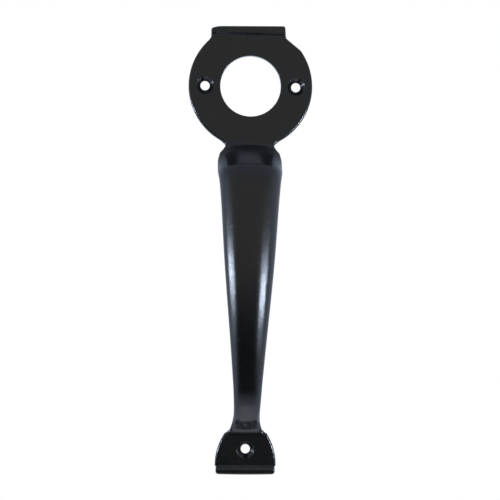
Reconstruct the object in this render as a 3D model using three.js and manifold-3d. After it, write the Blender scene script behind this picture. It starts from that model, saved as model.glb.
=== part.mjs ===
// Cylinder pull handle: a door pull pressed from one steel sheet.
// A flat ring at the top goes round the cylinder of a rim latch, a domed grip with an open back
// stands out from the door, and a flat foot takes the lowest screw.
// The pressing is drawn as the stretches that its form lines make, one mesh each.
//
// Millimetres. +X is to the viewer's right, +Y goes into the door, +Z is up.
// The origin is the middle of the cylinder hole, in the plane of the door.
import * as THREE from 'three';
import { mergeVertices } from 'three/addons/utils/BufferGeometryUtils.js';
import Module from 'manifold-3d';

const wasm = await Module();
wasm.setup();

const DEG = Math.PI / 180;

// ---- driving dimensions ----
const SHEET = 2.5;              // thickness of the coated sheet
const GAP = 0.3;                // clearance between neighbouring stretches

const RING_RADIUS = 31.7;
const CYLINDER_HOLE_RADIUS = 15.5;
const RING_SCREW_X = 23.3;      // each ring screw hole, from the middle
const RING_FOOT = -28.3;        // height at which the flat ring ends and the bend starts
const SCREW_HOLE_RADIUS = 2.35;
const COUNTERSINK_RADIUS = 4.35;
const COUNTERSINK_DEPTH = 2.0;

const LIP_LEFT = -20.5;         // the top strip is not centred on the ring
const LIP_RIGHT = 17.8;
const LIP_TOP_LEFT = 30.4;      // and its top edge climbs slightly to the right
const LIP_TOP_RIGHT = 31.2;

const FOOT_HEAD = -178.1;       // height at which the lower bend ends and the flat foot starts
const FOOT_HALF = 15.6;
const FOOT_SIDE_RADIUS = 28;    // each side of the foot is one long arc
const FOOT_SHOULDER = -193.4;   // height at which the two arcs stand upright
const FOOT_SCREW_Z = -185.8;
const FOOT_LIP_HALF = 15.2;
const BOTTOM_EDGE = -198.8;

const GROOVE_DEPTH = 0.8;       // pressed groove: a steep upper wall and a gentle lower one
const GROOVE_UPPER = 0.6;
const GROOVE_LOWER = 1.4;
const TOP_GROOVE = 26.8;        // heights of the bottoms of the two grooves
const FOOT_GROOVE = -194.8;
const NOTCH = 0.5;              // how far the foot's groove bites into the side edges

// the middle line of the grip, as angles away from the door and bend radii
const RISE = 52 * DEG;
const CROWN_UP = 5.5 * DEG;
const CROWN_DOWN = 8 * DEG;
const FALL = 53 * DEG;
const UPPER_BEND = 2.5;
const UPPER_SHOULDER = 12;
const GRIP_BOW = 446;
const LOWER_SHOULDER = 27;
const LOWER_BEND = 4;

const ACROSS_STEPS = 16;        // facets across the grip
const CIRCLE_STEPS = 60;        // facets round a full circle
const CORNER_STEPS = 6;         // facets in a short curve

// ---- materials ----
const coat = (colour) => new THREE.MeshStandardMaterial({
  color: colour, roughness: 0.35, metalness: 0.0,
});
const plateCoat = coat(0x1b1b1d);
const gripCoat = coat(0x1e1e22);

// ---- solids for cutting ----
function toSolid(geometry) {
  const bare = geometry.clone();
  bare.deleteAttribute('normal');
  bare.deleteAttribute('uv');
  const merged = mergeVertices(bare, 1e-5);
  return new wasm.Manifold(new wasm.Mesh({
    numProp: 3,
    vertProperties: new Float32Array(merged.attributes.position.array),
    triVerts: new Uint32Array(merged.index.array),
  }));
}

function toGeometry(solid) {
  const mesh = solid.getMesh();
  const geometry = new THREE.BufferGeometry();
  geometry.setAttribute('position', new THREE.BufferAttribute(mesh.vertProperties, 3));
  geometry.setIndex(new THREE.BufferAttribute(mesh.triVerts, 1));
  geometry.computeVertexNormals();
  return geometry;
}

// A flat piece: its outline is drawn in X and Z, and it fills the sheet's thickness.
function plateSolid(outline, curveSegments) {
  const geometry = new THREE.ExtrudeGeometry(outline, {
    depth: SHEET, bevelEnabled: false, curveSegments,
  });
  geometry.rotateX(Math.PI / 2);
  return toSolid(geometry);
}

function screwHole(x, z) {
  const past = 1;
  const front = -SHEET;
  const seat = front + COUNTERSINK_DEPTH;
  const slope = (COUNTERSINK_RADIUS - SCREW_HOLE_RADIUS) / COUNTERSINK_DEPTH;
  const profile = [
    new THREE.Vector2(0, front - past),
    new THREE.Vector2(COUNTERSINK_RADIUS + slope * past, front - past),
    new THREE.Vector2(SCREW_HOLE_RADIUS, seat),
    new THREE.Vector2(SCREW_HOLE_RADIUS, past),
    new THREE.Vector2(0, past),
  ];
  const geometry = new THREE.LatheGeometry(profile, CIRCLE_STEPS / 2);
  geometry.translate(x, 0, z);
  return toSolid(geometry);
}

// A groove right across the front, with its bottom at height z.
function groove(z) {
  const past = 0.5;
  const grow = (GROOVE_DEPTH + past) / GROOVE_DEPTH;
  const wedge = new THREE.Shape([
    new THREE.Vector2(-SHEET + GROOVE_DEPTH, z),
    new THREE.Vector2(-SHEET - past, z + GROOVE_UPPER * grow),
    new THREE.Vector2(-SHEET - past, z - GROOVE_LOWER * grow),
  ]);
  const length = 3 * RING_RADIUS;
  const geometry = new THREE.ExtrudeGeometry(wedge, { depth: length, bevelEnabled: false });
  // the shape's X and Y become the part's Y and Z, and the length runs along X
  geometry.applyMatrix4(new THREE.Matrix4().set(
    0, 0, 1, -length / 2,
    1, 0, 0, 0,
    0, 1, 0, 0,
    0, 0, 0, 1,
  ));
  return toSolid(geometry);
}

// ---- flat stretches ----
// half-widths where the flat stretches meet the bends
const ringFootHalf = Math.sqrt(RING_RADIUS ** 2 - RING_FOOT ** 2);
const footHeadHalf = FOOT_HALF - FOOT_SIDE_RADIUS
  + Math.sqrt(FOOT_SIDE_RADIUS ** 2 - (FOOT_HEAD - FOOT_SHOULDER) ** 2);

function ringPlate() {
  const footAngle = Math.asin(RING_FOOT / RING_RADIUS);
  const rightFlare = 36.5 * DEG;
  const leftFlare = 134 * DEG;
  const outline = new THREE.Shape();
  outline.moveTo(ringFootHalf, RING_FOOT);
  outline.absarc(0, 0, RING_RADIUS, footAngle, rightFlare, false);
  outline.lineTo(19.2, 23.9);
  outline.quadraticCurveTo(18.1, 24.9, LIP_RIGHT + 0.1, TOP_GROOVE - GAP / 2);
  outline.lineTo(LIP_LEFT, TOP_GROOVE - GAP / 2);
  outline.quadraticCurveTo(
    LIP_LEFT - 0.4, 24.4,
    RING_RADIUS * Math.cos(leftFlare), RING_RADIUS * Math.sin(leftFlare),
  );
  outline.absarc(0, 0, RING_RADIUS, leftFlare, Math.PI - footAngle, false);

  const cylinderHole = new THREE.Path();
  cylinderHole.absarc(0, 0, CYLINDER_HOLE_RADIUS, 0, 2 * Math.PI, true);
  outline.holes.push(cylinderHole);

  return plateSolid(outline, CIRCLE_STEPS)
    .subtract(screwHole(-RING_SCREW_X, 0))
    .subtract(screwHole(RING_SCREW_X, 0))
    .subtract(groove(TOP_GROOVE));
}

function topLip() {
  const corner = 1.2;
  const slope = (LIP_TOP_RIGHT - LIP_TOP_LEFT) / (LIP_RIGHT - LIP_LEFT);
  const dropStart = LIP_LEFT + 5.8;
  const outline = new THREE.Shape();
  outline.moveTo(LIP_LEFT, TOP_GROOVE + GAP / 2);
  outline.lineTo(LIP_RIGHT, TOP_GROOVE + GAP / 2);
  outline.lineTo(LIP_RIGHT - 0.3, LIP_TOP_RIGHT - corner);
  outline.quadraticCurveTo(
    LIP_RIGHT - 0.4, LIP_TOP_RIGHT,
    LIP_RIGHT - 0.4 - corner, LIP_TOP_RIGHT - slope * corner,
  );
  outline.lineTo(dropStart, LIP_TOP_LEFT + slope * (dropStart - LIP_LEFT));
  outline.quadraticCurveTo(LIP_LEFT + 2.6, LIP_TOP_LEFT, LIP_LEFT + 1.1, LIP_TOP_LEFT - 0.7);
  outline.quadraticCurveTo(LIP_LEFT, LIP_TOP_LEFT - 1.1, LIP_LEFT, LIP_TOP_LEFT - 2.0);
  return plateSolid(outline, CORNER_STEPS).subtract(groove(TOP_GROOVE));
}

function footPlate() {
  const centre = FOOT_SIDE_RADIUS - FOOT_HALF;
  const headAngle = Math.asin((FOOT_HEAD - FOOT_SHOULDER) / FOOT_SIDE_RADIUS);
  const outline = new THREE.Shape();
  outline.moveTo(-footHeadHalf, FOOT_HEAD);
  outline.absarc(centre, FOOT_SHOULDER, FOOT_SIDE_RADIUS, Math.PI - headAngle, Math.PI, false);
  outline.lineTo(-FOOT_HALF + NOTCH, FOOT_GROOVE + GAP / 2);
  outline.lineTo(FOOT_HALF - NOTCH, FOOT_GROOVE + GAP / 2);
  outline.lineTo(FOOT_HALF, FOOT_SHOULDER);
  outline.absarc(-centre, FOOT_SHOULDER, FOOT_SIDE_RADIUS, 0, headAngle, false);
  return plateSolid(outline, 3 * CORNER_STEPS)
    .subtract(screwHole(0, FOOT_SCREW_Z))
    .subtract(groove(FOOT_GROOVE));
}

function bottomLip() {
  const corner = 1.8;
  const crown = 0.35;
  const outline = new THREE.Shape();
  outline.moveTo(-FOOT_HALF + NOTCH, FOOT_GROOVE - GAP / 2);
  outline.lineTo(-FOOT_LIP_HALF, FOOT_GROOVE - 1.0);
  outline.lineTo(-FOOT_LIP_HALF, BOTTOM_EDGE + crown + corner);
  outline.quadraticCurveTo(
    -FOOT_LIP_HALF, BOTTOM_EDGE + crown,
    -FOOT_LIP_HALF + corner, BOTTOM_EDGE + crown,
  );
  outline.quadraticCurveTo(0, BOTTOM_EDGE - crown, FOOT_LIP_HALF - corner, BOTTOM_EDGE + crown);
  outline.quadraticCurveTo(
    FOOT_LIP_HALF, BOTTOM_EDGE + crown,
    FOOT_LIP_HALF, BOTTOM_EDGE + crown + corner,
  );
  outline.lineTo(FOOT_LIP_HALF, FOOT_GROOVE - 1.0);
  outline.lineTo(FOOT_HALF - NOTCH, FOOT_GROOVE - GAP / 2);
  return plateSolid(outline, CORNER_STEPS).subtract(groove(FOOT_GROOVE));
}

// ---- middle line of the grip, on the front face ----
// Each part of the line turns by an angle at a radius; a radius of 0 is a straight run.
// The two straight risers close the line from the ring's height to the foot's.
function middleLine() {
  const bends = [
    { radius: UPPER_BEND, from: 0, to: RISE },
    { radius: UPPER_SHOULDER, from: RISE, to: CROWN_UP },
    { radius: GRIP_BOW, from: CROWN_UP, to: -CROWN_DOWN },
    { radius: LOWER_SHOULDER, from: -CROWN_DOWN, to: -FALL },
    { radius: LOWER_BEND, from: -FALL, to: 0 },
  ];
  let fall = 0;
  let stand = 0;
  for (const { radius, from, to } of bends) {
    const turn = Math.sign(to - from);
    fall += turn * radius * (Math.sin(to) - Math.sin(from));
    stand -= turn * radius * (Math.cos(to) - Math.cos(from));
  }
  const restDown = RING_FOOT - FOOT_HEAD - fall;
  // cos(RISE)·up + cos(FALL)·down = restDown and sin(RISE)·up - sin(FALL)·down = -stand
  const spread = Math.sin(RISE + FALL);
  const up = (restDown * Math.sin(FALL) - stand * Math.cos(FALL)) / spread;
  const down = (restDown * Math.sin(RISE) + stand * Math.cos(RISE)) / spread;
  const parts = [bends[0], { run: up, angle: RISE }, bends[1], bends[2], bends[3],
    { run: down, angle: -FALL }, bends[4]];
  const marks = [0];
  for (const part of parts) {
    part.length = part.run ?? part.radius * Math.abs(part.to - part.from);
    marks.push(marks.at(-1) + part.length);
  }
  return { parts, marks };
}

const line = middleLine();
const [BEND_START, BEND_END, RISER_TOP, SHOULDER_END, BOW_END, LOW_SHOULDER_END, RISER_FOOT,
  LINE_END] = line.marks;

// Where the middle line is after a length s: how far it stands out, and its height.
function lineAt(s) {
  let out = SHEET;
  let height = RING_FOOT;
  let left = s;
  for (const part of line.parts) {
    const length = Math.min(Math.max(left, 0), part.length);
    if (part.run !== undefined) {
      out += length * Math.sin(part.angle);
      height -= length * Math.cos(part.angle);
    } else {
      const turn = Math.sign(part.to - part.from);
      const angle = part.from + turn * length / part.radius;
      out -= turn * part.radius * (Math.cos(angle) - Math.cos(part.from));
      height -= turn * part.radius * (Math.sin(angle) - Math.sin(part.from));
    }
    left -= length;
  }
  return { out, height };
}

// A smooth curve through [place, value] pairs that never overshoots them.
function smooth(pairs, s) {
  const last = pairs.length - 1;
  if (s <= pairs[0][0]) return pairs[0][1];
  if (s >= pairs[last][0]) return pairs[last][1];
  const chord = (i) => (pairs[i + 1][1] - pairs[i][1]) / (pairs[i + 1][0] - pairs[i][0]);
  const slope = (i) => {
    if (i === 0 || i === last) return 0;
    const before = chord(i - 1);
    const after = chord(i);
    return before * after <= 0 ? 0 : 2 * before * after / (before + after);
  };
  const i = pairs.findLastIndex(([place]) => place <= s);
  const width = pairs[i + 1][0] - pairs[i][0];
  const t = (s - pairs[i][0]) / width;
  return pairs[i][1] * (1 + 2 * t) * (1 - t) ** 2
    + slope(i) * width * t * (1 - t) ** 2
    + pairs[i + 1][1] * t * t * (3 - 2 * t)
    + slope(i + 1) * width * t * t * (t - 1);
}

// ---- cross-sections of the grip ----
const riserMiddle = (BEND_END + RISER_TOP) / 2;

const HALF_WIDTHS = [
  [BEND_START, ringFootHalf], [BEND_START + 1.2, 12.9], [BEND_END - 0.5, 12.6],
  [BEND_END + 2, 14.0], [BEND_END + 4, 15.7], [riserMiddle, 16.7], [RISER_TOP, 16.6],
  [SHOULDER_END, 15.5], [SHOULDER_END + 12.6, 14.55], [SHOULDER_END + 38, 12.9],
  [BOW_END - 12.6, 8.3], [BOW_END + 4, 7.15], [BOW_END + 14, 6.9], [LOW_SHOULDER_END, 7.3],
  [RISER_FOOT, 8.1], [LINE_END - 1.9, 8.5], [LINE_END - 0.8, 9.7], [LINE_END, footHeadHalf],
];
// how far the section has turned back towards the door at its side edges
const EDGE_TURNS = [
  [BEND_START, 0], [BEND_START + 1.2, 2 * DEG], [BEND_END + 2, 22 * DEG],
  [riserMiddle, 58 * DEG], [RISER_TOP, 76 * DEG], [SHOULDER_END, 82 * DEG],
  [BOW_END, 82 * DEG], [LOW_SHOULDER_END, 66 * DEG], [RISER_FOOT, 24 * DEG],
  [LINE_END - 1.6, 2 * DEG], [LINE_END, 0],
];
// the direction in which the sides drop away, as an angle from straight into the door; it turns
// more slowly than the middle line, so the sides don't fold over themselves in the tight bends
const DROP_ANGLES = [
  [BEND_START, 0], [BEND_END, 26 * DEG], [riserMiddle, 34 * DEG], [RISER_TOP, 24 * DEG],
  [SHOULDER_END, 14 * DEG], [SHOULDER_END + 16, 4 * DEG], [BOW_END, -8 * DEG],
  [LOW_SHOULDER_END, -34 * DEG], [RISER_FOOT, -34 * DEG], [LINE_END, 0],
];
// 1 is an even curve; larger numbers keep the middle flat and turn near the edges
const FLATNESS = [
  [BEND_START, 3], [BEND_END, 2.2], [riserMiddle, 1.7], [RISER_TOP, 1.7],
  [SHOULDER_END, 1.9], [BOW_END, 1.8], [LOW_SHOULDER_END, 1.8], [LINE_END, 3],
];

// One side of a section, from the middle to the edge: [sideways, drop towards the back].
function halfSection(s) {
  const edge = smooth(EDGE_TURNS, s);
  const flat = smooth(FLATNESS, s);
  const fine = 8;
  const steps = ACROSS_STEPS / 2;
  const points = [[0, 0]];
  let across = 0;
  let drop = 0;
  for (let i = 0; i < steps * fine; i += 1) {
    const turn = edge * ((i + 0.5) / (steps * fine)) ** flat;
    across += Math.cos(turn);
    drop += Math.sin(turn);
    if ((i + 1) % fine === 0) points.push([across, drop]);
  }
  const scale = smooth(HALF_WIDTHS, s) / across;
  return points.map(([x, d]) => [x * scale, d * scale]);
}

// The front face at a length s along the middle line, from the left edge to the right edge.
function frontRow(s) {
  const { out, height } = lineAt(s);
  const angle = smooth(DROP_ANGLES, s);
  const half = halfSection(s);
  const place = (x, drop) => new THREE.Vector3(
    x, -(out - drop * Math.cos(angle)), height - drop * Math.sin(angle),
  );
  const left = half.slice(1).reverse().map(([x, drop]) => place(-x, drop));
  return [...left, ...half.map(([x, drop]) => place(x, drop))];
}

// A closed shell of the sheet's thickness behind the front face, between two lengths.
function shell(start, end, rows) {
  const reach = 0.02;
  const columns = ACROSS_STEPS + 1;
  const front = [];
  const back = [];
  for (let r = 0; r <= rows; r += 1) {
    const s = start + (end - start) * r / rows;
    const here = frontRow(s);
    const before = frontRow(Math.max(s - reach, 0));
    const after = frontRow(Math.min(s + reach, LINE_END));
    here.forEach((point, c) => {
      const along = after[c].clone().sub(before[c]);
      const across = here[Math.min(c + 1, columns - 1)].clone().sub(here[Math.max(c - 1, 0)]);
      const outward = along.cross(across).normalize();
      front.push(point);
      back.push(point.clone().addScaledVector(outward, -SHEET));
    });
  }
  const points = [...front, ...back];
  const behind = front.length;
  const at = (r, c) => r * columns + c;
  const triangles = [];
  const quad = (a, b, c, d) => triangles.push(a, b, c, a, c, d);
  for (let r = 0; r < rows; r += 1) {
    for (let c = 0; c < columns - 1; c += 1) {
      quad(at(r, c), at(r + 1, c), at(r + 1, c + 1), at(r, c + 1));
      quad(behind + at(r, c), behind + at(r, c + 1), behind + at(r + 1, c + 1),
        behind + at(r + 1, c));
    }
    const last = columns - 1;
    quad(at(r, 0), behind + at(r, 0), behind + at(r + 1, 0), at(r + 1, 0));
    quad(at(r, last), at(r + 1, last), behind + at(r + 1, last), behind + at(r, last));
  }
  for (let c = 0; c < columns - 1; c += 1) {
    quad(at(0, c), at(0, c + 1), behind + at(0, c + 1), behind + at(0, c));
    quad(at(rows, c), behind + at(rows, c), behind + at(rows, c + 1), at(rows, c + 1));
  }
  const geometry = new THREE.BufferGeometry().setFromPoints(points);
  geometry.setIndex(triangles);
  geometry.computeVertexNormals();
  return geometry;
}

// ---- the object ----
const group = new THREE.Group();

function addPiece(name, geometry, material) {
  const piece = new THREE.Mesh(geometry, material);
  piece.name = name;
  group.add(piece);
}

addPiece('top_lip', toGeometry(topLip()), plateCoat);
addPiece('ring_plate', toGeometry(ringPlate()), plateCoat);
addPiece('upper_neck', shell(BEND_START + GAP, RISER_TOP - GAP / 2, 14), gripCoat);
addPiece('grip_bow', shell(RISER_TOP + GAP / 2, LOW_SHOULDER_END - GAP / 2, 36), gripCoat);
addPiece('lower_neck', shell(LOW_SHOULDER_END + GAP / 2, LINE_END - GAP, 14), gripCoat);
addPiece('foot_plate', toGeometry(footPlate()), plateCoat);
addPiece('bottom_lip', toGeometry(bottomLip()), plateCoat);

export default group;
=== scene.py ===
import math

import bmesh
import bpy
import numpy as np
from mathutils import Matrix, Vector
from mathutils.geometry import delaunay_2d_cdt


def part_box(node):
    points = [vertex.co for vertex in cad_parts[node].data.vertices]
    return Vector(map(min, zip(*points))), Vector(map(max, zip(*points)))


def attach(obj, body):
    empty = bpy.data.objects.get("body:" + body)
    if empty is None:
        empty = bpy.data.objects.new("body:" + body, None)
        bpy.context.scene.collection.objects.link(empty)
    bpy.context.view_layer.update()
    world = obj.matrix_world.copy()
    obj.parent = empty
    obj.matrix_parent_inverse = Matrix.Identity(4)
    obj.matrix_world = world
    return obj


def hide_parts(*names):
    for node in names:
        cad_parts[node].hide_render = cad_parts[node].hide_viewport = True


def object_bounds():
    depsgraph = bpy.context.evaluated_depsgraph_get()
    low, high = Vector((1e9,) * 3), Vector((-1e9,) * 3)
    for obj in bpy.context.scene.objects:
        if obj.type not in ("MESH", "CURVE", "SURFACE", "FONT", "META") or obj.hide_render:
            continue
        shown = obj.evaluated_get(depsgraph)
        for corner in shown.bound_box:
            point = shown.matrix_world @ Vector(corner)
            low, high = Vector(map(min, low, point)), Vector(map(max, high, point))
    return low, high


# Looks of a black powder-coated cylinder pull handle, pressed from one steel sheet.
#
# The whole pressing is drawn as one sheet and then cut at the joints of the CAD nodes, so that
# its surface runs on from piece to piece. The sheet is laid out flat first, as a blank: "a" is
# the distance from its middle line, "s" the distance along that line, down from the ring. Then
# surface() bends the blank into the ring, the grip and the foot.
#
# Lengths below are in millimetres. x is to the right, z is up, and out is the distance from the
# plane of the door, which is -Y of the frame. Meshes are made in metres.

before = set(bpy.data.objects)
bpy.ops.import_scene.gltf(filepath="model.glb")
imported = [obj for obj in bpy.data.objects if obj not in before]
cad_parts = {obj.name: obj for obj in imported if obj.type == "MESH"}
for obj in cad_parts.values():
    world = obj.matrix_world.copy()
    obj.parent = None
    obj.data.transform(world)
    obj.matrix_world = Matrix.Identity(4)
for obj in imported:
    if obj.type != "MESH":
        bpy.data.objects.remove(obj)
cad_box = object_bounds()

MM = 0.001


def box_mm(node):
    low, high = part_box(node)
    return Vector(low) / MM, Vector(high) / MM


# ---- driving dimensions: the first ones come from the frame ----
lip_low, lip_high = box_mm("top_lip")
ring_low, ring_high = box_mm("ring_plate")
foot_low, foot_high = box_mm("foot_plate")
tail_low, tail_high = box_mm("bottom_lip")
grip_low = box_mm("grip_bow")[0]

SHEET = -ring_low.y
PROJECTION = -grip_low.y
RING_RADIUS = ring_high.x
LIP_LEFT = lip_low.x
LIP_RIGHT = lip_high.x
LIP_TOP_RIGHT = lip_high.z
RING_FOOT = ring_low.z
FOOT_HEAD = foot_high.z
FOOT_HALF = foot_high.x
BOTTOM_EDGE = tail_low.z
FOOT_LIP_HALF = tail_high.x

LIP_TOP_LEFT = LIP_TOP_RIGHT - 0.8      # the top edge slopes down a little to the left
TOP_GROOVE = (lip_low.z + ring_high.z) / 2
FOOT_GROOVE = (foot_low.z + tail_high.z) / 2
GROOVE_DEPTH = 0.8
GROOVE_UPPER = 0.6              # height of a groove's upper wall, and below it of its lower wall
GROOVE_LOWER = 1.4
GROOVE_EASE = 0.12              # rounding of a groove's edges and bottom
NOTCH = 0.5                     # how far the foot's groove bites into the side edges

CYLINDER_HOLE_RADIUS = 15.5
RING_SCREW_X = 23.3
FOOT_SCREW_Z = -185.8
SCREW_HOLE_RADIUS = 2.35
COUNTERSINK_RADIUS = 4.35
COUNTERSINK_DEPTH = 2.0

FOOT_SIDE_RADIUS = 28           # each side of the foot is one long arc
FOOT_SHOULDER = -193.4          # height at which the two arcs stand upright

RIM_REACH = 1.15                # how far the rolled front edge reaches in, and how deep it goes
RIM_FRONT = 0.9
RIM_BACK = 0.5                  # rounding of the back edge
RIM_SUPPORT = 0.12              # width of the flat row that holds each rounding's shape
HOLE_RIM = 0.35                 # rounding of a hole's front edge

# middle line of the grip: angles away from the door, and bend radii
RISE = math.radians(52)
CROWN_UP = math.radians(5.5)
CROWN_DOWN = math.radians(8)
FALL = math.radians(53)
UPPER_BEND = 2.5
UPPER_SHOULDER = 12
GRIP_BOW = 446
LOWER_SHOULDER = 27
LOWER_BEND = 4


# ---- the middle line ----
def riser_lengths(bends):
    """Lengths of the two straight risers that bring the line back to the door at the foot."""
    fall = 0.0
    stand = 0.0
    for radius, start, end in bends:
        turn = math.copysign(1, end - start)
        fall += turn * radius * (math.sin(end) - math.sin(start))
        stand -= turn * radius * (math.cos(end) - math.cos(start))
    rest_down = RING_FOOT - FOOT_HEAD - fall
    spread = math.sin(RISE + FALL)
    up = (rest_down * math.sin(FALL) - stand * math.cos(FALL)) / spread
    down = (rest_down * math.sin(RISE) + stand * math.cos(RISE)) / spread
    return up, down


BENDS = [
    (UPPER_BEND, 0, RISE),
    (UPPER_SHOULDER, RISE, CROWN_UP),
    (GRIP_BOW, CROWN_UP, -CROWN_DOWN),
    (LOWER_SHOULDER, -CROWN_DOWN, -FALL),
    (LOWER_BEND, -FALL, 0),
]
UP_RUN, DOWN_RUN = riser_lengths(BENDS)
ARC_LENGTHS = [radius * abs(end - start) for radius, start, end in BENDS]
STRETCHES = [ARC_LENGTHS[0], UP_RUN, ARC_LENGTHS[1], ARC_LENGTHS[2], ARC_LENGTHS[3], DOWN_RUN,
             ARC_LENGTHS[4]]
(BEND_START, BEND_END, RISER_TOP, SHOULDER_END, BOW_END, LOW_SHOULDER_END, RISER_FOOT,
 LINE_END) = np.concatenate([[0], np.cumsum(STRETCHES)])
RISER_MIDDLE = (BEND_END + RISER_TOP) / 2


def middle_line_table():
    """s, out and z along the line. The turning is eased, so that no bend starts abruptly."""
    step = 0.02
    ease = 1.2
    margin = 3 * ease
    s = np.arange(-margin, LINE_END + margin, step)
    angle = np.interp(
        s,
        [BEND_START, BEND_END, RISER_TOP, SHOULDER_END, BOW_END, LOW_SHOULDER_END, RISER_FOOT,
         LINE_END],
        [0, RISE, RISE, CROWN_UP, -CROWN_DOWN, -FALL, -FALL, 0],
    )
    reach = np.arange(-margin, margin + step / 2, step)
    weight = np.exp(-(reach / ease) ** 2 * 2)
    angle = np.convolve(np.pad(angle, len(reach) // 2, mode="edge"), weight / weight.sum(),
                        mode="valid")[:len(s)]
    out = SHEET + np.cumsum(np.sin(angle)) * step
    z = RING_FOOT + margin - np.cumsum(np.cos(angle)) * step
    along = (s - s[0]) / (s[-1] - s[0])
    out -= along * (out[-1] - SHEET)
    out = SHEET + (out - SHEET) * (PROJECTION - SHEET) / (out.max() - SHEET)
    z -= along * (z[-1] - (FOOT_HEAD - margin))
    return s, out, z


LINE_S, LINE_OUT, LINE_Z = middle_line_table()


def smooth(pairs, s):
    """A smooth curve through (place, value) pairs that never overshoots them."""
    place, value = np.array(pairs, dtype=float).T
    width = np.diff(place)
    chord = np.diff(value) / width
    slope = np.zeros(len(place))
    before, after = chord[:-1], chord[1:]
    same_way = before * after > 0
    slope[1:-1][same_way] = (2 * before * after)[same_way] / (before + after)[same_way]
    s = np.clip(s, place[0], place[-1])
    i = np.clip(np.searchsorted(place, s, side="right") - 1, 0, len(width) - 1)
    t = (s - place[i]) / width[i]
    return (value[i] * (1 + 2 * t) * (1 - t) ** 2 + slope[i] * width[i] * t * (1 - t) ** 2
            + value[i + 1] * t * t * (3 - 2 * t) + slope[i + 1] * width[i] * t * t * (t - 1))


# ---- cross-sections of the grip ----
RING_FOOT_HALF = math.sqrt(RING_RADIUS ** 2 - RING_FOOT ** 2)
FOOT_HEAD_HALF = FOOT_HALF - FOOT_SIDE_RADIUS + math.sqrt(
    FOOT_SIDE_RADIUS ** 2 - (FOOT_HEAD - FOOT_SHOULDER) ** 2)
HALF_WIDTHS = [
    (BEND_START, RING_FOOT_HALF), (BEND_START + 1.2, 12.9), (BEND_END - 0.5, 12.6),
    (BEND_END + 2, 14.0), (BEND_END + 4, 15.7), (RISER_MIDDLE, 16.7), (RISER_TOP, 16.6),
    (SHOULDER_END, 15.5), (SHOULDER_END + 12.6, 14.55), (SHOULDER_END + 38, 12.9),
    (BOW_END - 12.6, 8.3), (BOW_END + 4, 7.15), (BOW_END + 14, 6.9), (LOW_SHOULDER_END, 7.3),
    (RISER_FOOT, 8.1), (LINE_END - 1.9, 8.5), (LINE_END - 0.8, 9.7), (LINE_END, FOOT_HEAD_HALF),
]
# how far the section has turned back towards the door at its side edges
EDGE_TURNS = [
    (BEND_START, 0), (BEND_START + 1.2, math.radians(2)), (BEND_END + 2, math.radians(22)),
    (RISER_MIDDLE, math.radians(58)), (RISER_TOP, math.radians(76)),
    (SHOULDER_END, math.radians(82)), (BOW_END, math.radians(82)),
    (LOW_SHOULDER_END, math.radians(66)), (RISER_FOOT, math.radians(24)),
    (LINE_END - 1.6, math.radians(2)), (LINE_END, 0),
]
# the direction in which the sides drop away, as an angle from straight into the door
DROP_ANGLES = [
    (BEND_START, 0), (BEND_END, math.radians(26)), (RISER_MIDDLE, math.radians(34)),
    (RISER_TOP, math.radians(24)), (SHOULDER_END, math.radians(14)),
    (SHOULDER_END + 16, math.radians(4)), (BOW_END, math.radians(-8)),
    (LOW_SHOULDER_END, math.radians(-34)), (RISER_FOOT, math.radians(-34)), (LINE_END, 0),
]
# 1 is an even curve; larger numbers keep the middle flat and turn near the edges
FLATNESS = [
    (BEND_START, 3), (BEND_END, 2.2), (RISER_MIDDLE, 1.7), (RISER_TOP, 1.7), (SHOULDER_END, 1.9),
    (BOW_END, 1.8), (LOW_SHOULDER_END, 1.8), (LINE_END, 3),
]
# shares of the way from the middle to a point, at which the section's turning is averaged
QUADRATURE = (np.arange(32) + 0.5) / 32


def blank_half(s):
    """Half the width of the blank at s: the length round the section, middle to edge."""
    s = np.atleast_1d(s)
    turn = smooth(EDGE_TURNS, s)[:, None] * QUADRATURE ** smooth(FLATNESS, s)[:, None]
    return smooth(HALF_WIDTHS, s) / np.cos(turn).mean(axis=1)


def surface(a, s):
    """Front face of the bent sheet at blank places (a, s), as rows of x, out and z."""
    a = np.asarray(a, dtype=float)
    s = np.asarray(s, dtype=float)
    half = blank_half(s)
    u = np.abs(a) / half
    turn = smooth(EDGE_TURNS, s)[:, None] * (u[:, None] * QUADRATURE) ** (
        smooth(FLATNESS, s)[:, None])
    x = a * np.cos(turn).mean(axis=1)
    drop = np.abs(a) * np.sin(turn).mean(axis=1)
    angle = smooth(DROP_ANGLES, s)
    out = np.interp(s, LINE_S, LINE_OUT)
    z = np.interp(s, LINE_S, LINE_Z)
    z = np.where(s < LINE_S[0], RING_FOOT - s, z)
    z = np.where(s > LINE_S[-1], FOOT_HEAD - (s - LINE_END), z)
    return np.stack([x, out - drop * np.cos(angle), z - drop * np.sin(angle)], axis=1)


def unit(v):
    return v / np.linalg.norm(v, axis=1, keepdims=True)


def directions(a, s):
    """Unit vectors across, along and out of the sheet at blank places."""
    step = 0.03
    across = unit(surface(a + step, s) - surface(a - step, s))
    along = unit(surface(a, s + step) - surface(a, s - step))
    return across, along, unit(np.cross(across, along))


def s_of(z):
    """Blank place of a height on the flat ring or the flat foot."""
    return RING_FOOT - z if z > (RING_FOOT + FOOT_HEAD) / 2 else LINE_END + FOOT_HEAD - z


# ---- the two grooves ----
def groove_depth(z):
    """Depth of the pressed grooves at height z on the front, averaged over the rounding."""
    depth = np.zeros_like(z)
    reach = np.arange(-3, 3.5) / 3 * GROOVE_EASE
    for bottom in (TOP_GROOVE, FOOT_GROOVE):
        for shift in reach:
            dz = z + shift - bottom
            wall = np.where(dz > 0, 1 - dz / GROOVE_UPPER, 1 + dz / GROOVE_LOWER)
            depth += GROOVE_DEPTH * np.clip(wall, 0, 1) / len(reach)
    return depth


def groove_slope(z):
    step = 0.02
    return (groove_depth(z + step) - groove_depth(z - step)) / (2 * step)


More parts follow.
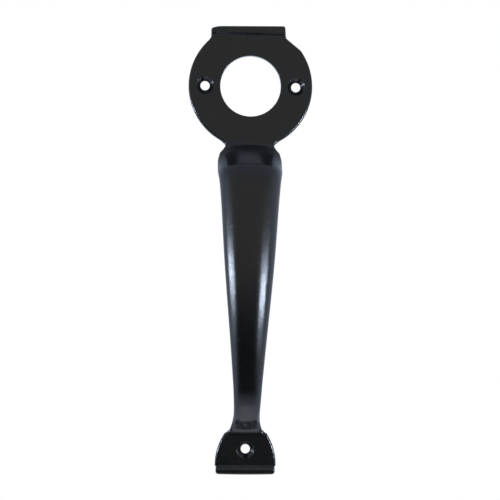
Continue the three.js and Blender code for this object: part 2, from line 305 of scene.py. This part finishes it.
# heights of the rows of vertices across a groove, up from its bottom
GROOVE_ROWS = [-1.75, -1.52, -1.4, -1.28, -1.0, -0.65, -0.3, -0.12, 0, 0.12, 0.3, 0.48, 0.6,
               0.72, 0.9]


# ---- outline of the blank ----
def arc(centre_x, centre_z, radius, start, end, count):
    angles = np.linspace(start, end, count)
    return [(centre_x + radius * math.cos(t), centre_z + radius * math.sin(t)) for t in angles]


def bend(start, control, end, count):
    """A smooth corner from start to end, pulled towards control."""
    return [tuple((1 - t) ** 2 * p + 2 * t * (1 - t) * q + t * t * r
                  for p, q, r in zip(start, control, end)) for t in np.linspace(0, 1, count)]


def straight(start, end, spacing=1.0):
    count = max(2, round(math.dist(start, end) / spacing) + 1)
    return [tuple(p) for p in np.linspace(start, end, count)]


def flat_side(points):
    """Blank places of points given as (x, z) on a flat stretch."""
    return [(x, s_of(z)) for x, z in points]


def groove_side(x_above, x_bottom, x_below, bottom):
    """Points down one side past a groove, with a point on each of its rows."""
    return [(float(np.interp(dz, [-GROOVE_LOWER, 0, GROOVE_UPPER], [x_below, x_bottom, x_above])),
             bottom + dz) for dz in reversed(GROOVE_ROWS)]


def grip_side(sign):
    """One side edge of the bent stretch, from the ring down to the foot."""
    places = np.concatenate([
        np.arange(0.25, BEND_END + 4, 0.25), np.arange(BEND_END + 4, RISER_TOP, 0.7), [RISER_TOP],
        np.arange(RISER_TOP + 0.5, SHOULDER_END, 0.5), np.arange(SHOULDER_END, BOW_END, 1.2),
        np.arange(BOW_END, LOW_SHOULDER_END, 0.7), [LOW_SHOULDER_END],
        np.arange(LOW_SHOULDER_END + 0.7, RISER_FOOT - 3, 0.7),
        np.arange(RISER_FOOT - 3, LINE_END - 0.1, 0.25),
    ])
    return [(sign * half, s) for half, s in zip(blank_half(places), places)]


def outline():
    """The blank's outline: down the right side, along the bottom, up the left, along the top."""
    foot_angle = math.asin(RING_FOOT / RING_RADIUS)
    right_flare = math.radians(36.5)
    left_flare = math.radians(134)
    head_angle = math.asin((FOOT_HEAD - FOOT_SHOULDER) / FOOT_SIDE_RADIUS)
    foot_centre = FOOT_HALF - FOOT_SIDE_RADIUS
    corner = 1.3
    low_corner = 1.8
    crown = 0.35

    lip_slope = (LIP_TOP_RIGHT - LIP_TOP_LEFT) / (LIP_RIGHT - LIP_LEFT)
    above_right = (LIP_RIGHT - 0.15, TOP_GROOVE + GROOVE_ROWS[-1])
    flare_start = (LIP_RIGHT + 0.1, TOP_GROOVE + GROOVE_ROWS[0])
    flare_end = (19.2, 23.9)
    joins = (RING_RADIUS * math.cos(right_flare), RING_RADIUS * math.sin(right_flare))
    top_end = (LIP_RIGHT - 0.4 - corner, LIP_TOP_RIGHT - lip_slope * corner)
    right = flat_side(
        bend(top_end, (LIP_RIGHT - 0.4, LIP_TOP_RIGHT), (LIP_RIGHT - 0.3, LIP_TOP_RIGHT - corner), 9)
        + straight((LIP_RIGHT - 0.3, LIP_TOP_RIGHT - corner), above_right)[1:-1]
        + groove_side(LIP_RIGHT - 0.1, LIP_RIGHT, LIP_RIGHT + 0.1, TOP_GROOVE)
        + bend(flare_start, (18.0, 24.9), flare_end, 10)[1:]
        + straight(flare_end, joins)[1:]
        + arc(0, 0, RING_RADIUS, right_flare, foot_angle, 70)[1:]
    )
    foot_right = flat_side(
        arc(foot_centre, FOOT_SHOULDER, FOOT_SIDE_RADIUS, head_angle, 0, 26)[:-1]
        + groove_side(FOOT_HALF, FOOT_HALF - NOTCH, FOOT_LIP_HALF, FOOT_GROOVE)
        + bend((FOOT_LIP_HALF, BOTTOM_EDGE + low_corner),
               (FOOT_LIP_HALF, BOTTOM_EDGE + crown),
               (FOOT_LIP_HALF - low_corner, BOTTOM_EDGE + crown / 2), 9)
    )
    foot_left = [(-a, s) for a, s in reversed(foot_right)]
    bottom = flat_side(bend((FOOT_LIP_HALF - low_corner, BOTTOM_EDGE + crown / 2),
                            (0, BOTTOM_EDGE - crown / 2),
                            (-FOOT_LIP_HALF + low_corner, BOTTOM_EDGE + crown / 2), 24)[1:-1])

    flare_left = (RING_RADIUS * math.cos(left_flare), RING_RADIUS * math.sin(left_flare))
    drop_start = (LIP_LEFT + 5.8, LIP_TOP_LEFT + lip_slope * 5.8)
    drop_end = (LIP_LEFT + 1.1, LIP_TOP_LEFT - 0.7)
    left_top = (LIP_LEFT, LIP_TOP_LEFT - 2.0)
    above_left = (LIP_LEFT, TOP_GROOVE + GROOVE_ROWS[-1])
    below_left = (LIP_LEFT, TOP_GROOVE + GROOVE_ROWS[0])
    left_down = flat_side(
        bend(drop_start, (LIP_LEFT + 2.6, LIP_TOP_LEFT), drop_end, 8)
        + bend(drop_end, (LIP_LEFT, LIP_TOP_LEFT - 1.1), left_top, 7)[1:]
        + straight(left_top, above_left, 0.5)[1:-1]
        + groove_side(LIP_LEFT, LIP_LEFT, LIP_LEFT, TOP_GROOVE)
        + bend(below_left, (LIP_LEFT - 0.4, 24.0), flare_left, 10)[1:]
        + arc(0, 0, RING_RADIUS, left_flare, math.pi - foot_angle, 62)[1:]
    )
    top = flat_side(straight(drop_start, top_end, 1.5)[1:-1])
    return np.array(right + grip_side(1) + foot_right + bottom + foot_left
                    + grip_side(-1)[::-1] + left_down[::-1] + top)


OUTLINE = outline()
CUTS = [s_of(TOP_GROOVE), BEND_START, RISER_TOP, LOW_SHOULDER_END, LINE_END, s_of(FOOT_GROOVE)]
PIECES = ["top_lip", "ring_plate", "upper_neck", "grip_bow", "lower_neck", "foot_plate",
          "bottom_lip"]


def inward(points):
    """Unit vectors into the blank at each outline point, eased round its corners.

    Also how much of the rim's full width has room there, from 0 to 1.
    """
    ease = 0.5
    room = 0.65
    least_fit = 0.3
    step = np.roll(points, -1, axis=0) - points
    length = np.linalg.norm(step, axis=1)
    place = np.concatenate([[0], np.cumsum(length)[:-1]])
    total = length.sum()
    gap = (place + length / 2)[None, :] - place[:, None]
    gap = (gap + total / 2) % total - total / 2
    weight = np.exp(-(gap / ease) ** 2) * length
    weight /= weight.sum(axis=1, keepdims=True)
    area = (points[:, 0] * step[:, 1] - points[:, 1] * step[:, 0]).sum()
    side = math.copysign(1, area)
    normal = unit(weight @ unit(np.stack([-step[:, 1], step[:, 0]], axis=1))) * side
    ahead = np.roll(normal, -1, axis=0)
    turning = side * (normal[:, 0] * ahead[:, 1] - normal[:, 1] * ahead[:, 0]) / length
    full = RIM_REACH + RIM_SUPPORT
    fit = np.clip(room / np.maximum(turning * full, 1e-6), least_fit, 1)
    return normal, weight @ np.minimum(fit, np.roll(fit, 1))


# ---- one sheet, as vertices with exact normals ----
FRONT_SHARE = SHEET / 2 + 0.1   # the grooves press in whatever lies less deep than this


class Sheet:
    """Collects vertices (place and normal, in x, out, z) and the faces of each piece."""

    def __init__(self):
        self.places = []
        self.normals = []
        self.count = 0
        self.faces = {name: [] for name in PIECES}
        self.caps = {name: [] for name in PIECES}

    def add(self, places, normals):
        ids = np.arange(self.count, self.count + len(places))
        self.places.append(places)
        self.normals.append(normals)
        self.count += len(places)
        return ids

    def place(self, a, s, depth, tilt=0.0, edge=None):
        """Adds vertices at a depth under the front. tilt turns the normal from out to edge."""
        across, along, out = directions(a, s)
        front = surface(a, s)
        if depth < FRONT_SHARE:
            dip = groove_depth(front[:, 2])
            slope = groove_slope(front[:, 2])
            flat = (s < BEND_START) | (s > LINE_END)
            depth = depth + np.where(flat, dip, 0)[:, None]
            up = np.array([0.0, 0.0, 1.0])
            top = unit(out + np.where(flat, slope, 0)[:, None] * up)
        else:
            top = out
        normal = top * math.cos(tilt)
        if edge is not None:
            side = unit(across * edge[:, :1] + along * edge[:, 1:])
            normal = unit(normal + side * math.sin(tilt))
        return self.add(front - out * depth, normal)


def rim_profile():
    """(distance from the outline, depth, tilt of the normal) from the front round to the back."""
    rows = [(RIM_REACH + RIM_SUPPORT, 0.0, 0.0)]
    for t in np.linspace(0, math.pi / 2, 9):
        tilt = math.atan2(RIM_FRONT * math.sin(t), RIM_REACH * math.cos(t))
        rows.append((RIM_REACH * (1 - math.sin(t)), RIM_FRONT * (1 - math.cos(t)), tilt))
    for t in np.linspace(math.pi / 2, math.pi, 5):
        rows.append((RIM_BACK * (1 - math.sin(t)), SHEET - RIM_BACK * (1 + math.cos(t)), t))
    rows.append((RIM_BACK + RIM_SUPPORT, SHEET, math.pi))
    return rows


def hole_profile(radius, sink_radius=None, sink_depth=0.0):
    """(radius, depth, tilt) of a hole's wall from the front to the back."""
    support = 0.2
    mouth = sink_radius or radius
    back = 0.2                  # rounding of the hole's back edge
    rows = [(mouth + HOLE_RIM + support, 0.0, 0.0)]
    if sink_radius:
        cone = math.atan2(sink_depth, sink_radius - radius)
        ease = 0.2
        for t in np.linspace(0, cone, 4):
            rows.append((mouth + ease * (1 - math.sin(t)), ease * (1 - math.cos(t)) * 0.6, t))
        rows.append((mouth - 0.12, 0.2, cone))
        rows.append((radius + 0.18, sink_depth - 0.16, cone))
        rows.append((radius + 0.04, sink_depth, (cone + math.pi / 2) / 2))
        rows.append((radius, sink_depth + 0.12, math.pi / 2))
    else:
        for t in np.linspace(0, math.pi / 2, 6):
            rows.append((radius + HOLE_RIM * (1 - math.sin(t)), HOLE_RIM * (1 - math.cos(t)), t))
    for t in np.linspace(math.pi / 2, math.pi, 4):
        rows.append((radius + back * (1 - math.sin(t)), SHEET - back * (1 + math.cos(t)), t))
    rows.append((radius + back + support, SHEET, math.pi))
    return rows


SCREW_HOLE = hole_profile(SCREW_HOLE_RADIUS, COUNTERSINK_RADIUS, COUNTERSINK_DEPTH)
# piece, blank place, number of vertices round it, and profile of each hole
HOLES = [
    ("ring_plate", 0.0, s_of(0), 120, hole_profile(CYLINDER_HOLE_RADIUS)),
    ("ring_plate", -RING_SCREW_X, s_of(0), 56, SCREW_HOLE),
    ("ring_plate", RING_SCREW_X, s_of(0), 56, SCREW_HOLE),
    ("foot_plate", 0.0, s_of(FOOT_SCREW_Z), 56, SCREW_HOLE),
]


def piece_at(s):
    return PIECES[int(np.searchsorted(CUTS, s))]


def strip(first, second, closed=True):
    """Quads between two rows of vertices with the same count."""
    count = len(first)
    last = count if closed else count - 1
    return [(first[i], first[(i + 1) % count], second[(i + 1) % count], second[i])
            for i in range(last)]


def add_rim(sheet):
    """The rounded edge all the way round. Returns its rings of vertices and their places."""
    normal, fit = inward(OUTLINE)
    rings = []
    places = []
    for distance, depth, tilt in rim_profile():
        where = OUTLINE + normal * (distance * fit)[:, None]
        rings.append(sheet.place(where[:, 0], where[:, 1], depth, tilt, edge=-normal))
        places.append(where)
    middle_s = (OUTLINE[:, 1] + np.roll(OUTLINE[:, 1], -1)) / 2
    owners = [piece_at(s) for s in middle_s]
    for first, second in zip(rings, rings[1:]):
        for owner, quad in zip(owners, strip(first, second)):
            sheet.faces[owner].append(quad)
    return rings, places


def add_holes(sheet):
    """The walls of the four holes.

    Returns their outermost rings on the front and on the back, each as vertices and places.
    """
    front_rims = []
    back_rims = []
    for owner, a, s, count, profile in HOLES:
        angle = np.linspace(0, 2 * math.pi, count, endpoint=False)
        ray = np.stack([np.cos(angle), np.sin(angle)], axis=1)
        rings = []
        for radius, depth, tilt in profile:
            where = ray * radius + np.array([a, s])
            rings.append(sheet.place(where[:, 0], where[:, 1], depth, tilt, edge=-ray))
        for first, second in zip(rings, rings[1:]):
            sheet.faces[owner].extend(strip(first, second))
        front_rims.append((rings[0], ray * profile[0][0] + (a, s)))
        back_rims.append((rings[-1], ray * profile[-1][0] + (a, s)))
    return front_rims, back_rims


def inside(points, polygon):
    """Which points lie inside a closed polygon."""
    x, y = points[:, :1], points[:, 1:]
    x0, y0 = polygon[:, 0], polygon[:, 1]
    x1, y1 = np.roll(x0, -1), np.roll(y0, -1)
    straddles = (y0 > y) != (y1 > y)
    with np.errstate(divide="ignore", invalid="ignore"):
        crossing = x0 + (y - y0) * (x1 - x0) / (y1 - y0)
    return ((straddles & (x < crossing)).sum(axis=1) % 2) == 1


def distance(points, polygon):
    """Distance from each point to a closed polygon's edges."""
    start = polygon
    step = np.roll(polygon, -1, axis=0) - polygon
    length = (step ** 2).sum(axis=1)
    best = np.full(len(points), np.inf)
    for p, d, n in zip(start, step, length):
        t = np.clip(((points - p) @ d) / n, 0, 1)
        best = np.minimum(best, np.linalg.norm(points - p - t[:, None] * d, axis=1))
    return best


def row_places():
    """Heights on the blank of the rows of vertices inside the outline."""
    groove_rows = [s_of(bottom + dz) for bottom in (TOP_GROOVE, FOOT_GROOVE)
                   for dz in GROOVE_ROWS]
    return np.concatenate([
        [s_of(TOP_GROOVE) - 3.2, s_of(TOP_GROOVE) - 2.0], groove_rows,
        np.arange(s_of(TOP_GROOVE) + 3, -2, 2.4), np.arange(-1.4, BEND_END + 2, 0.45),
        np.arange(BEND_END + 2, RISER_TOP - 0.5, 1.0),
        np.arange(RISER_TOP + 0.5, SHOULDER_END + 3, 0.6),
        np.arange(SHOULDER_END + 3, BOW_END - 3, 1.3),
        np.arange(BOW_END - 3, LOW_SHOULDER_END - 0.5, 0.8),
        np.arange(LOW_SHOULDER_END + 0.8, RISER_FOOT - 1, 0.9),
        np.arange(RISER_FOOT - 1, LINE_END - 0.4, 0.45),
        np.arange(LINE_END + 1, s_of(FOOT_GROOVE) - 1.5, 1.8), [s_of(FOOT_GROOVE) + 2.6],
    ])


def add_face(sheet, depth, tilt, ring_ids, ring_places, hole_rims):
    """Fills the front or the back between the rim and the holes, cut along the pieces' joints."""
    spacing = 1.25
    widest = 32
    from_rim = 0.3
    from_hole = 0.4
    from_joint = 0.05
    columns = np.arange(-widest, widest + 0.5, spacing)
    spare = np.array([(a, s) for s in row_places() for a in columns])
    keep = inside(spare, ring_places)
    keep[keep] &= distance(spare[keep], ring_places) > from_rim
    for _ids, polygon in hole_rims:
        centre = polygon.mean(axis=0)
        near = np.linalg.norm(spare - centre, axis=1)
        keep &= near > np.linalg.norm(polygon[0] - centre) + from_hole

    points = [ring_places]
    ids = [ring_ids]
    edges = [(i, (i + 1) % len(ring_ids)) for i in range(len(ring_ids))]
    for hole_ids, polygon in hole_rims:
        start = sum(len(p) for p in points)
        edges += [(start + i, start + (i + 1) % len(polygon)) for i in range(len(polygon))]
        points.append(polygon)
        ids.append(hole_ids)

    # a row of vertices straight across the blank at each joint
    joints = []
    right_half = OUTLINE[:, 0] > 0
    for cut in CUTS:
        on_cut = np.abs(OUTLINE[:, 1] - cut) < 1e-4
        right = int(np.flatnonzero(on_cut & right_half)[0])
        left = int(np.flatnonzero(on_cut & ~right_half)[0])
        ends = ring_places[left], ring_places[right]
        count = max(4, round(math.dist(*ends) / spacing))
        row = np.linspace(*ends, count + 1)[1:-1]
        keep &= np.abs(spare[:, 1] - (ends[0][1] + ends[1][1]) / 2) > from_joint
        start = sum(len(p) for p in points)
        chain = [left, *range(start, start + len(row)), right]
        edges += list(zip(chain, chain[1:]))
        new_ids = sheet.place(row[:, 0], row[:, 1], depth, tilt)
        points.append(row)
        ids.append(new_ids)
        row_ids = np.concatenate([[ring_ids[left]], new_ids, [ring_ids[right]]])
        joints.append((left, right, row_ids, ends))
    filling = spare[keep]
    points.append(filling)
    ids.append(sheet.place(filling[:, 0], filling[:, 1], depth, tilt))
    points = np.concatenate(points)
    ids = np.concatenate(ids)

    found = delaunay_2d_cdt([Vector(p) for p in points], edges, [], 0, 1e-7)
    triangles = np.array([f for f in found[2] if len(f) == 3])
    origin = [group[0] if group else None for group in found[3]]
    if None in origin:
        raise RuntimeError("the blank's edges cross each other")
    origin = np.array(origin)
    triangles = origin[triangles]
    middles = points[triangles].mean(axis=1)
    good = inside(middles, ring_places)
    for _ids, polygon in hole_rims:
        good &= ~inside(middles, polygon)
    for triangle, (a, s) in zip(triangles[good], middles[good]):
        passed = sum(s > np.interp(a, *zip(*joint[-1])) for joint in joints)
        sheet.faces[PIECES[passed]].append(tuple(ids[triangle]))
    return joints


def add_caps(sheet, rings, front_joints, back_joints):
    """Closes both sides of each joint between the front, the back and the two rims."""
    for k, (front, back) in enumerate(zip(front_joints, back_joints)):
        left, right, front_row = front[:3]
        cap = strip(front_row, back[2], closed=False)
        cap.append(tuple(ring[left] for ring in rings))
        cap.append(tuple(ring[right] for ring in rings))
        sheet.caps[PIECES[k]].extend(cap)
        sheet.caps[PIECES[k + 1]].extend(cap)


def make_sheet():
    sheet = Sheet()
    rings, places = add_rim(sheet)
    front_rims, back_rims = add_holes(sheet)
    front = add_face(sheet, 0.0, 0.0, rings[0], places[0], front_rims)
    back = add_face(sheet, SHEET, math.pi, rings[-1], places[-1], back_rims)
    add_caps(sheet, rings, front, back)
    return sheet


def in_frame(vectors):
    """x, out, z as the frame's X, Y, Z."""
    return vectors * np.array([1.0, -1.0, 1.0])


def make_piece(sheet, places, normals, name, material):
    """One closed mesh, with the sheet's own normals except on its cut ends."""
    faces = sheet.faces[name]
    caps = sheet.caps[name]
    used = sorted({int(i) for face in faces + caps for i in face})
    index = {old: new for new, old in enumerate(used)}
    mesh = bpy.data.meshes.new(name + "_coated")
    mesh.from_pydata([Vector(p) for p in places[used] * MM], [],
                     [[index[int(i)] for i in face] for face in faces + caps])
    work = bmesh.new()
    work.from_mesh(mesh)
    bmesh.ops.recalc_face_normals(work, faces=work.faces)
    work.to_mesh(mesh)
    work.free()
    mesh.polygons.foreach_set("use_smooth", [True] * len(mesh.polygons))
    own = normals[used]
    split = []
    for polygon in mesh.polygons:
        on_cap = polygon.index >= len(faces)
        for loop in polygon.loop_indices:
            vertex = mesh.loops[loop].vertex_index
            split.append(tuple(polygon.normal) if on_cap else tuple(own[vertex]))
    mesh.normals_split_custom_set(split)
    mesh.materials.append(material)
    piece = bpy.data.objects.new(name + "_coated", mesh)
    bpy.context.scene.collection.objects.link(piece)
    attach(piece, "root")
    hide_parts(name)
    return piece


# ---- materials ----
def powder_coat():
    """Satin black powder coat: a fine orange-peel skin over near-black, slightly uneven gloss."""
    material = bpy.data.materials.new("black_powder_coat")
    material.use_nodes = True
    nodes = material.node_tree.nodes
    links = material.node_tree.links
    shader = nodes["Principled BSDF"]
    shader.inputs["IOR"].default_value = 1.5
    shader.inputs["Coat Weight"].default_value = 0.0

    place = nodes.new("ShaderNodeTexCoord")

    def noise(scale, detail, rough):
        node = nodes.new("ShaderNodeTexNoise")
        node.inputs["Scale"].default_value = scale
        node.inputs["Detail"].default_value = detail
        node.inputs["Roughness"].default_value = rough
        links.new(place.outputs["Object"], node.inputs["Vector"])
        return node

    blotch = noise(90, 2, 0.5)
    tint = nodes.new("ShaderNodeValToRGB")
    darker, lighter = tint.color_ramp.elements
    darker.position = 0.35
    darker.color = (0.0012, 0.0012, 0.0013, 1)
    lighter.position = 0.65
    lighter.color = (0.0020, 0.0020, 0.0022, 1)
    links.new(blotch.outputs["Fac"], tint.inputs["Fac"])
    links.new(tint.outputs["Color"], shader.inputs["Base Color"])

    cloud = noise(400, 3, 0.6)
    gloss = nodes.new("ShaderNodeMapRange")
    gloss.inputs["From Min"].default_value = 0.3
    gloss.inputs["From Max"].default_value = 0.7
    gloss.inputs["To Min"].default_value = 0.18
    gloss.inputs["To Max"].default_value = 0.22
    links.new(cloud.outputs["Fac"], gloss.inputs["Value"])
    links.new(gloss.outputs["Result"], shader.inputs["Roughness"])

    def bump(height, distance_m):
        node = nodes.new("ShaderNodeBump")
        node.inputs["Strength"].default_value = 1.0
        node.inputs["Distance"].default_value = distance_m
        links.new(height.outputs["Fac"], node.inputs["Height"])
        return node

    peel = bump(noise(1150, 1, 0.4), 0.00005)
    grain = bump(noise(2300, 1, 0.5), 0.000015)
    links.new(peel.outputs["Normal"], grain.inputs["Normal"])
    links.new(grain.outputs["Normal"], shader.inputs["Normal"])
    return material


def floor_material():
    material = bpy.data.materials.new("pale_floor")
    material.use_nodes = True
    shader = material.node_tree.nodes["Principled BSDF"]
    shader.inputs["Base Color"].default_value = (0.86, 0.86, 0.86, 1)
    shader.inputs["Roughness"].default_value = 0.9
    return material


# ---- stage, light and camera, in metres ----
VIEW_DISTANCE = 0.510
VIEW_HEIGHT = -0.0838           # height of the camera and of the middle of the picture
PICTURE_WIDTH = 0.2552          # width of the picture at the front of the plates
VIEW_SIDE = -0.025              # the camera stands a little left of the handle
AIM_SIDE = 0.00085              # and looks at a place a little right of its middle line
LEAN = math.radians(0.82)       # the handle leans clockwise in the picture
SENSOR = 36.0


def add_camera():
    front = -SHEET * MM
    aim = Vector((AIM_SIDE, front, VIEW_HEIGHT))
    eye = Vector((VIEW_SIDE, front - VIEW_DISTANCE, VIEW_HEIGHT))
    data = bpy.data.cameras.new("camera")
    data.sensor_width = SENSOR
    data.lens = SENSOR * VIEW_DISTANCE / PICTURE_WIDTH
    data.clip_start = 0.01
    data.clip_end = 20
    camera = bpy.data.objects.new("camera", data)
    turn = (aim - eye).to_track_quat("-Z", "Y").to_matrix().to_4x4()
    camera.matrix_world = Matrix.Translation(eye) @ turn @ Matrix.Rotation(LEAN, 4, "Z")
    bpy.context.scene.collection.objects.link(camera)
    bpy.context.scene.camera = camera


def add_light(name, place, target, width, height, power, colour=(1, 1, 1), glossy=True):
    data = bpy.data.lights.new(name, "AREA")
    data.shape = "RECTANGLE"
    data.size = width
    data.size_y = height
    data.energy = power
    data.color = colour
    light = bpy.data.objects.new(name, data)
    light.location = place
    light.visible_glossy = glossy
    light.rotation_mode = "QUATERNION"
    light.rotation_quaternion = (Vector(target) - Vector(place)).to_track_quat("-Z", "Y")
    bpy.context.scene.collection.objects.link(light)


def add_lights():
    cool = (0.85, 0.98, 1.20)
    left_aim = (0, -0.022, -0.094)
    right_aim = (0, -0.022, -0.103)
    add_light("left_strip", (-0.565, -0.270, -0.143), left_aim, 0.42, 0.020, 2.7, cool)
    add_light("right_strip", (0.460, -0.480, -0.179), right_aim, 0.36, 0.020, 3.0, cool)
    add_light("table_light", (0, -0.09, -0.17), (0, -0.09, -0.30), 0.1, 0.1, 0.15, glossy=False)


def add_floor():
    radius = 0.15
    drop = 0.10                 # how far the floor lies below the handle
    mesh = bpy.data.meshes.new("floor")
    work = bmesh.new()
    bmesh.ops.create_circle(work, cap_ends=True, radius=radius, segments=128)
    work.to_mesh(mesh)
    work.free()
    mesh.materials.append(floor_material())
    floor = bpy.data.objects.new("floor", mesh)
    floor.location = (0, 0.05, cad_box[0].z - drop)
    bpy.context.scene.collection.objects.link(floor)


# the studio before and behind the handle: height angle in degrees, brightness, how blue it is
FRONT_STUDIO = [
    (-90, 0.7, 0.8), (-75, 1.1, 0.8), (-59, 0.8, 0.7), (-37, 0.45, 0.5), (-25, 0.03, 0),
    (-11, 0.02, 0), (-9, 0.08, 0), (-6, 0.40, 0), (-2, 0.52, 0), (10, 0.54, 0), (45, 0.50, 0.3),
    (60, 0.66, 0.5), (90, 0.50, 0.7),
]
BACK_STUDIO = [
    (-90, 0.9, 0.8), (-70, 0.8, 0.9), (-40, 0.9, 1), (-10, 0.95, 1), (5, 0.95, 1),
    (25, 0.85, 1), (45, 0.60, 1), (60, 0.55, 0.9), (90, 0.50, 0.7),
]


def add_world():
    """A white backdrop for the camera, and a studio that fades from it towards the front."""
    world = bpy.data.worlds.new("studio")
    bpy.context.scene.world = world
    world.use_nodes = True
    nodes = world.node_tree.nodes
    links = world.node_tree.links
    nodes.clear()
    output = nodes.new("ShaderNodeOutputWorld")
    path = nodes.new("ShaderNodeLightPath")
    choose = nodes.new("ShaderNodeMixShader")
    white = nodes.new("ShaderNodeBackground")
    white.inputs["Color"].default_value = (1, 1, 1, 1)
    room = nodes.new("ShaderNodeBackground")
    links.new(path.outputs["Is Camera Ray"], choose.inputs["Fac"])
    links.new(room.outputs["Background"], choose.inputs[1])
    links.new(white.outputs["Background"], choose.inputs[2])
    links.new(choose.outputs["Shader"], output.inputs["Surface"])

    direction = nodes.new("ShaderNodeTexCoord")
    parts = nodes.new("ShaderNodeSeparateXYZ")
    links.new(direction.outputs["Generated"], parts.inputs["Vector"])
    height = nodes.new("ShaderNodeMapRange")
    height.inputs["From Min"].default_value = -1
    height.inputs["From Max"].default_value = 1
    links.new(parts.outputs["Z"], height.inputs["Value"])

    def by_height(stops):
        node = nodes.new("ShaderNodeValToRGB")
        elements = node.color_ramp.elements
        for angle, value, blue in stops:
            place = (math.sin(math.radians(angle)) + 1) / 2
            stop = elements[0] if angle == -90 else elements[-1]
            if -90 < angle < 90:
                stop = elements.new(place)
            stop.color = (value * (1 - 0.12 * blue), value, value * (1 + 0.28 * blue), 1)
        links.new(height.outputs["Result"], node.inputs["Fac"])
        return node

    behind = nodes.new("ShaderNodeMapRange")
    behind.interpolation_type = "SMOOTHSTEP"
    behind.inputs["From Min"].default_value = -0.80
    behind.inputs["From Max"].default_value = -0.20
    links.new(parts.outputs["Y"], behind.inputs["Value"])
    blend = nodes.new("ShaderNodeMixRGB")
    links.new(behind.outputs["Result"], blend.inputs["Fac"])
    links.new(by_height(FRONT_STUDIO).outputs["Color"], blend.inputs["Color1"])
    links.new(by_height(BACK_STUDIO).outputs["Color"], blend.inputs["Color2"])
    links.new(blend.outputs["Color"], room.inputs["Color"])


add_camera()
coat = powder_coat()
handle = make_sheet()
handle_places = in_frame(np.concatenate(handle.places))
handle_normals = in_frame(np.concatenate(handle.normals))
for piece_name in PIECES:
    make_piece(handle, handle_places, handle_normals, piece_name, coat)
add_floor()
add_lights()
add_world()
bpy.context.scene.view_settings.view_transform = "Standard"
